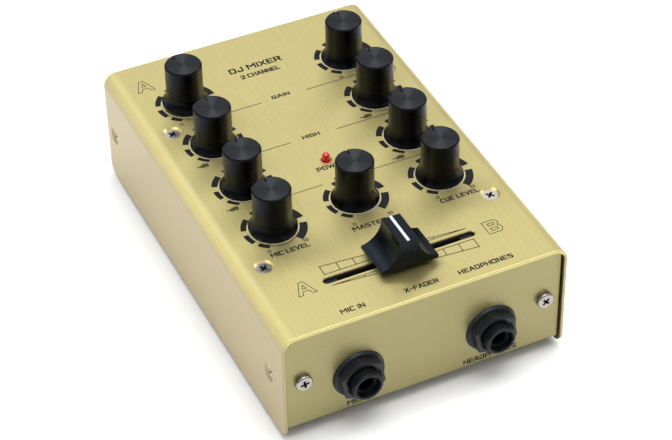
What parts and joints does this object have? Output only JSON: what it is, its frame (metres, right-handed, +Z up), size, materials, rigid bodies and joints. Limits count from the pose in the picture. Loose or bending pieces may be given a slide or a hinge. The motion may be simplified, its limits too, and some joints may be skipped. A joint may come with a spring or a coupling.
{
  "type": "dj mixer",
  "caption": "Compact tabletop audio mixer in a gold sheet-metal case, with black rotary knobs, a crossfader, front plug sockets, a power lamp and rear phono sockets.",
  "frame": {"origin": "on the surface that the feet stand on, under the middle of the overall length and width", "axes": "+X to the right seen from the front, +Y from the front panel to the rear panel, +Z up"},
  "size_m": [0.115, 0.189, 0.0693],
  "materials": {
    "cover_gold": "fine metallic gold enamel, satin",
    "panel_gold": "fine metallic gold enamel, satin",
    "zinc_steel": "plain zinc-plated sheet",
    "screw_nickel": "nickel plated",
    "knob_black": "satin black",
    "inlay_black": "spun and anodised black",
    "socket_black": "semi-gloss black",
    "fader_black": "satin black, fine moulded grain",
    "lamp_red": "clear-tinted red resin",
    "foot_rubber": "matte",
    "board_green": "green solder resist",
    "component_black": "moulded",
    "pot_steel": "pressed and plated",
    "plated_contact": "nickel plated",
    "insert_white": "moulded white",
    "insert_red": "moulded red",
    "ground_brass": "turned, lightly plated",
    "cable_grey": "soft flat cable"
  },
  "bodies": {
    "case": {"top_cover": "cover_gold", "front_panel": "panel_gold", "base_plate": "panel_gold", "rear_panel": "panel_gold", "rubber_feet": "foot_rubber", "front_brackets": "zinc_steel", "cover_screws": "screw_nickel", "pan_head_screws": "screw_nickel", "main_board": "board_green", "board_standoffs": "zinc_steel", "board_components": "component_black", "potentiometer_bodies": "pot_steel", "potentiometer_nuts": "zinc_steel", "crossfader_body": "component_black", "mic_jack": "socket_black", "headphone_jack": "socket_black", "jack_nuts": "socket_black", "power_lamp": "lamp_red", "rear_board": "board_green", "phono_housings": "component_black", "phono_shells": "plated_contact", "phono_inserts_white": "insert_white", "phono_inserts_red": "insert_red", "dc_socket": "socket_black", "dc_pin": "plated_contact", "line_switch_bodies": "pot_steel", "ground_post": "ground_brass", "ribbon_cables": "cable_grey"},
    "crossfader": {"crossfader_lever": "pot_steel", "crossfader_cap": "fader_black"},
    "line_switch_a": {"line_switch_lever_a": "component_black"},
    "line_switch_b": {"line_switch_lever_b": "component_black"},
    "ground_thumb_nut": {"ground_nut": "ground_brass"},
    "gain_a": {"gain_a_shaft": "pot_steel", "gain_a_knob": "knob_black", "gain_a_inlay": "inlay_black"},
    "high_a": {"high_a_shaft": "pot_steel", "high_a_knob": "knob_black", "high_a_inlay": "inlay_black"},
    "low_a": {"low_a_shaft": "pot_steel", "low_a_knob": "knob_black", "low_a_inlay": "inlay_black"},
    "mic_level": {"mic_level_shaft": "pot_steel", "mic_level_knob": "knob_black", "mic_level_inlay": "inlay_black"},
    "gain_b": {"gain_b_shaft": "pot_steel", "gain_b_knob": "knob_black", "gain_b_inlay": "inlay_black"},
    "high_b": {"high_b_shaft": "pot_steel", "high_b_knob": "knob_black", "high_b_inlay": "inlay_black"},
    "low_b": {"low_b_shaft": "pot_steel", "low_b_knob": "knob_black", "low_b_inlay": "inlay_black"},
    "cue_level": {"cue_level_shaft": "pot_steel", "cue_level_knob": "knob_black", "cue_level_inlay": "inlay_black"},
    "master": {"master_shaft": "pot_steel", "master_knob": "knob_black", "master_inlay": "inlay_black"}
  },
  "joints": [
    {"name": "gain_a_turn", "type": "hinge", "parent": "case", "child": "gain_a", "pos_m": [-0.0346, 0.0546, 0.0501], "axis": [0, 0, 1], "range_deg": [-170, 130]},
    {"name": "high_a_turn", "type": "hinge", "parent": "case", "child": "high_a", "pos_m": [-0.0346, 0.02605, 0.0501], "axis": [0, 0, 1], "range_deg": [-150, 150]},
    {"name": "low_a_turn", "type": "hinge", "parent": "case", "child": "low_a", "pos_m": [-0.0346, -0.0025, 0.0501], "axis": [0, 0, 1], "range_deg": [-150, 150]},
    {"name": "mic_level_turn", "type": "hinge", "parent": "case", "child": "mic_level", "pos_m": [-0.0346, -0.0295, 0.0501], "axis": [0, 0, 1], "range_deg": [-150, 150]},
    {"name": "gain_b_turn", "type": "hinge", "parent": "case", "child": "gain_b", "pos_m": [0.0346, 0.0546, 0.0501], "axis": [0, 0, 1], "range_deg": [-150, 150]},
    {"name": "high_b_turn", "type": "hinge", "parent": "case", "child": "high_b", "pos_m": [0.0346, 0.02605, 0.0501], "axis": [0, 0, 1], "range_deg": [-150, 150]},
    {"name": "low_b_turn", "type": "hinge", "parent": "case", "child": "low_b", "pos_m": [0.0346, -0.0025, 0.0501], "axis": [0, 0, 1], "range_deg": [-150, 150]},
    {"name": "cue_level_turn", "type": "hinge", "parent": "case", "child": "cue_level", "pos_m": [0.0346, -0.0295, 0.0501], "axis": [0, 0, 1], "range_deg": [-150, 150]},
    {"name": "master_turn", "type": "hinge", "parent": "case", "child": "master", "pos_m": [0, -0.0275, 0.0501], "axis": [0, 0, 1], "range_deg": [-150, 150]},
    {"name": "crossfader_slide", "type": "slide", "parent": "case", "child": "crossfader", "axis": [1, 0, 0], "range_m": [-0.0225, 0.0225]},
    {"name": "line_switch_a_slide", "type": "slide", "parent": "case", "child": "line_switch_a", "axis": [-1, 0, 0], "range_m": [0, 0.004]},
    {"name": "line_switch_b_slide", "type": "slide", "parent": "case", "child": "line_switch_b", "axis": [-1, 0, 0], "range_m": [0, 0.004]},
    {"name": "ground_nut_turn", "type": "hinge", "parent": "case", "child": "ground_thumb_nut", "pos_m": [-0.0465, 0.085, 0.027], "axis": [0, 1, 0], "continuous": true}
  ]
}
